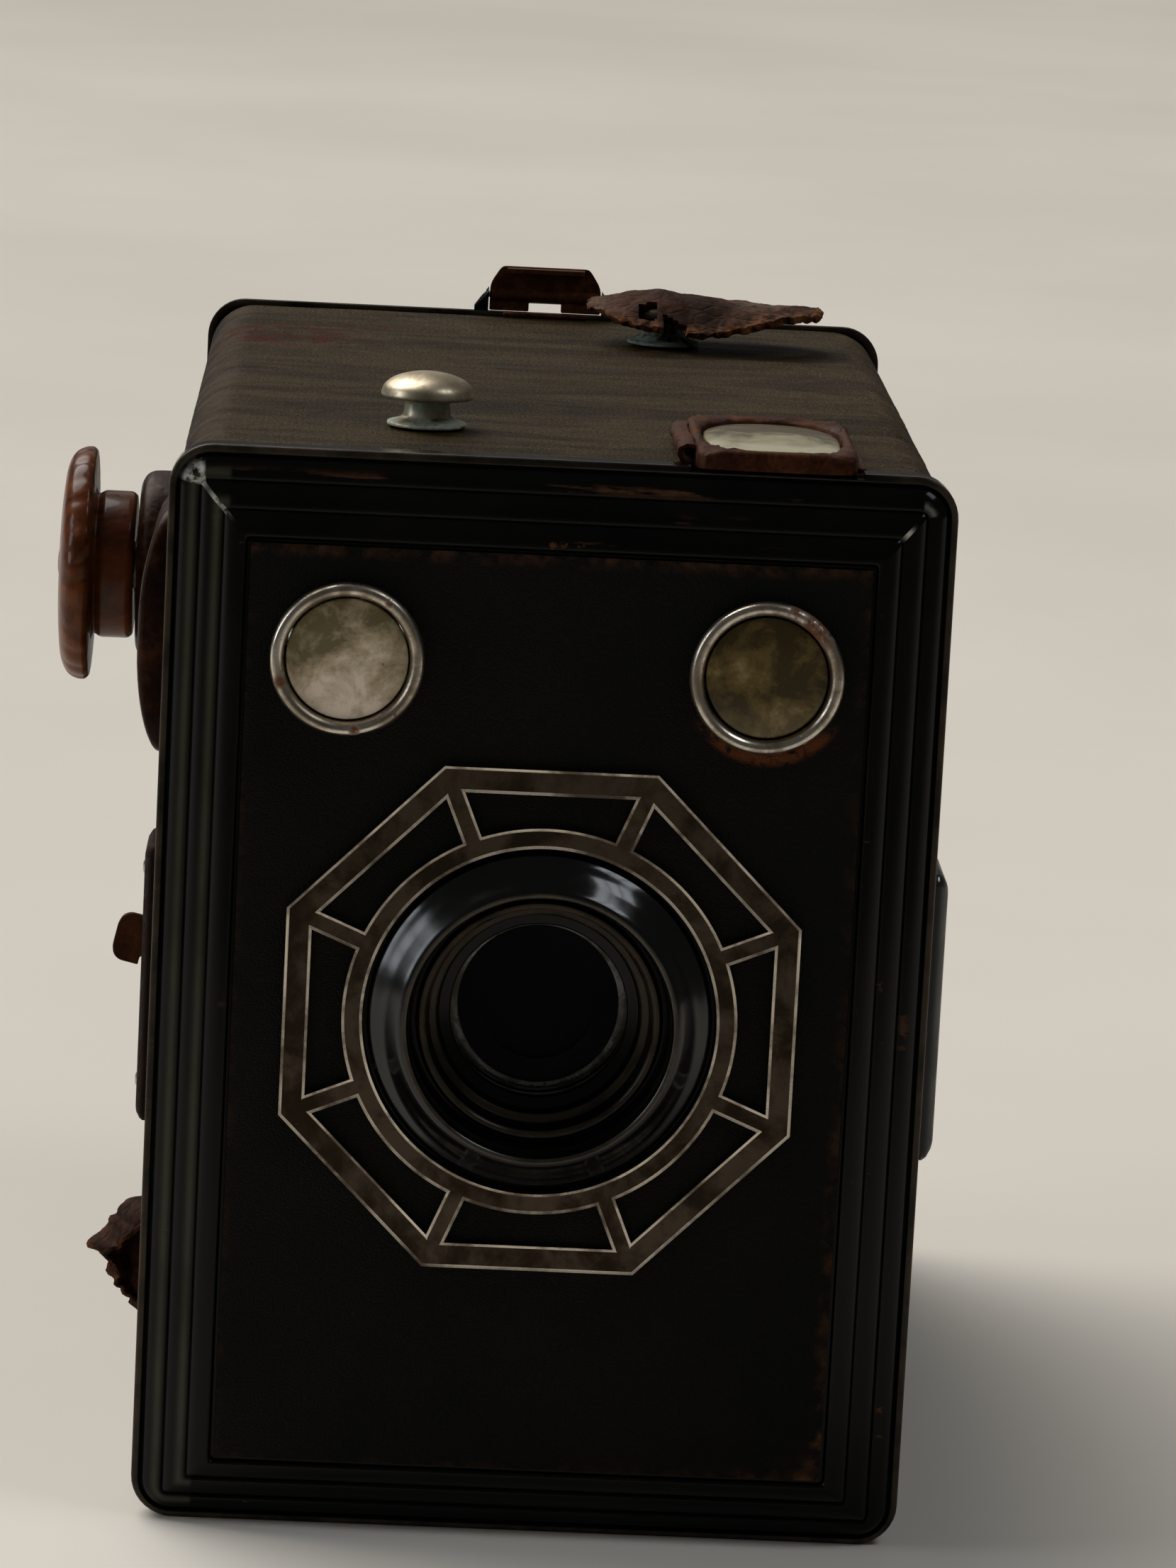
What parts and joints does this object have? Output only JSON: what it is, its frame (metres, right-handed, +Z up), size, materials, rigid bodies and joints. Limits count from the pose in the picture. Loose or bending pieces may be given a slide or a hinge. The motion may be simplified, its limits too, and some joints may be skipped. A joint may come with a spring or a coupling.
{
  "type": "box camera",
  "caption": "Vintage roll-film box camera with octagonal lens trim, two reflecting finders, side winding knob, side shutter lever, hinged back with latch and torn leather strap.",
  "frame": {"origin": "on the flat of the bottom tripod plate, below the middle of the case", "axes": "+Z up, -Y the front (the way the lens looks), +X to the right as seen from the front"},
  "size_m": [0.0934, 0.1275, 0.1169],
  "materials": {
    "black_enamel": "glossy stoved black enamel, chipped and scratched at the edges",
    "panel_leatherette": "fine-grained matt black leatherette, worn brown along its edges",
    "case_leatherette": "dull brown-black leatherette with streaky wear",
    "tarnished_nickel": "brown-grey tarnished nickel plate with bright rubbed edges",
    "bright_nickel": "nickel plate, slightly dulled",
    "stud_nickel": "nickelled brass, rubbed, with green verdigris at the stem",
    "bare_steel": "plain drawn steel",
    "blackened_steel": "matt black paint",
    "rusted_metal": "brown rusted steel with remains of lacquer",
    "brown_bakelite": "dark reddish-brown moulding, worn gloss",
    "spool_wood": "plain turned wood",
    "finder_glass": "clear glass, hazed",
    "lens_glass": "polished clear glass",
    "mirror": "silvered glass",
    "ruby": "ruby red celluloid",
    "old_leather": "dry, torn, reddish-brown leather"
  },
  "bodies": {
    "camera_body": {"aperture_plate": "blackened_steel", "body_leatherette": "case_leatherette", "body_shell": "blackened_steel", "carrier_plate_left": "bare_steel", "carrier_plate_right": "bare_steel", "door_hinge": "blackened_steel", "door_hinge_pin": "bare_steel", "finder_bezel_left": "bright_nickel", "finder_bezel_right": "bright_nickel", "finder_frame_side": "rusted_metal", "finder_frame_top": "rusted_metal", "finder_glass_side": "finder_glass", "finder_glass_top": "finder_glass", "finder_housing_side": "blackened_steel", "finder_housing_top": "blackened_steel", "finder_lens_left": "finder_glass", "finder_lens_right": "finder_glass", "finder_mirror_side": "mirror", "finder_mirror_top": "mirror", "front_panel_leatherette": "panel_leatherette", "front_plate": "black_enamel", "handle_strap_remnant": "old_leather", "knob_collar": "brown_bakelite", "latch_catch": "rusted_metal", "lens_cone": "black_enamel", "lens_element": "lens_glass", "lens_retaining_ring": "bright_nickel", "lens_tube": "black_enamel", "lever_pin": "bare_steel", "lever_spring": "bare_steel", "light_cone": "blackened_steel", "octagon_trim": "tarnished_nickel", "release_slot_plate": "rusted_metal", "sector_pin": "bare_steel", "shutter_board": "blackened_steel", "spool_pin_lower_left": "bare_steel", "spool_pin_lower_right": "bare_steel", "spool_pin_upper_right": "bare_steel", "strap_stud_front": "stud_nickel", "strap_stud_rear": "stud_nickel", "torn_leatherette_flap": "panel_leatherette", "tripod_socket_base": "blackened_steel", "tripod_socket_side": "rusted_metal"},
    "winding_slide": {"knob_friction_washer": "bare_steel"},
    "winding_key": {"winding_knob": "brown_bakelite", "winding_shaft": "bare_steel", "knob_screw": "brown_bakelite"},
    "take_up": {"take_up_spool": "spool_wood"},
    "supply": {"supply_spool": "spool_wood"},
    "upper_roller": {"film_roller_upper": "bare_steel"},
    "lower_roller": {"film_roller_lower": "bare_steel"},
    "release_lever": {"shutter_lever": "rusted_metal"},
    "sector": {"shutter_sector": "bare_steel"},
    "door": {"rear_door": "black_enamel", "door_leatherette": "case_leatherette", "red_window": "ruby", "red_window_ring": "bright_nickel", "latch_pin": "bare_steel"},
    "latch": {"rear_latch": "rusted_metal"}
  },
  "joints": [
    {"name": "knob_pull", "type": "slide", "parent": "camera_body", "child": "winding_slide", "axis": [-1, 0, 0], "range_m": [0, 0.005]},
    {"name": "knob_turn", "type": "hinge", "parent": "winding_slide", "child": "winding_key", "pos_m": [-0.047, -0.024, 0.093], "axis": [1, 0, 0], "continuous": true},
    {"name": "take_up_turn", "type": "hinge", "parent": "camera_body", "child": "take_up", "pos_m": [0, -0.024, 0.093], "axis": [1, 0, 0], "continuous": true},
    {"name": "supply_turn", "type": "hinge", "parent": "camera_body", "child": "supply", "pos_m": [0, -0.024, 0.017], "axis": [1, 0, 0], "continuous": true},
    {"name": "roller_upper_turn", "type": "hinge", "parent": "camera_body", "child": "upper_roller", "pos_m": [0, 0.0502, 0.1053], "axis": [1, 0, 0], "continuous": true},
    {"name": "roller_lower_turn", "type": "hinge", "parent": "camera_body", "child": "lower_roller", "pos_m": [0, 0.0502, 0.0057], "axis": [1, 0, 0], "continuous": true},
    {"name": "lever_press", "type": "hinge", "parent": "camera_body", "child": "release_lever", "pos_m": [-0.024, -0.0502, 0.0547], "axis": [0, -1, 0], "range_deg": [0, 28], "stiffness_Nm_per_rad": 0.012, "springref_deg": -20.05},
    {"name": "sector_swing", "type": "hinge", "parent": "camera_body", "child": "sector", "pos_m": [0.014, -0.0525, 0.066], "axis": [0, 1, 0], "range_deg": [0, 42]},
    {"name": "door_open", "type": "hinge", "parent": "camera_body", "child": "door", "pos_m": [0, 0.0596, 0.00135], "axis": [-1, 0, 0], "range_deg": [0, 90]},
    {"name": "latch_fold", "type": "hinge", "parent": "door", "child": "latch", "pos_m": [0, 0.0592, 0.1134], "axis": [1, 0, 0], "range_deg": [0, 89]}
  ],
  "couplings": [
    {"joint": "knob_turn", "follows": "take_up_turn", "ratio": 1},
    {"joint": "sector_swing", "follows": "lever_press", "ratio": 1.5}
  ]
}
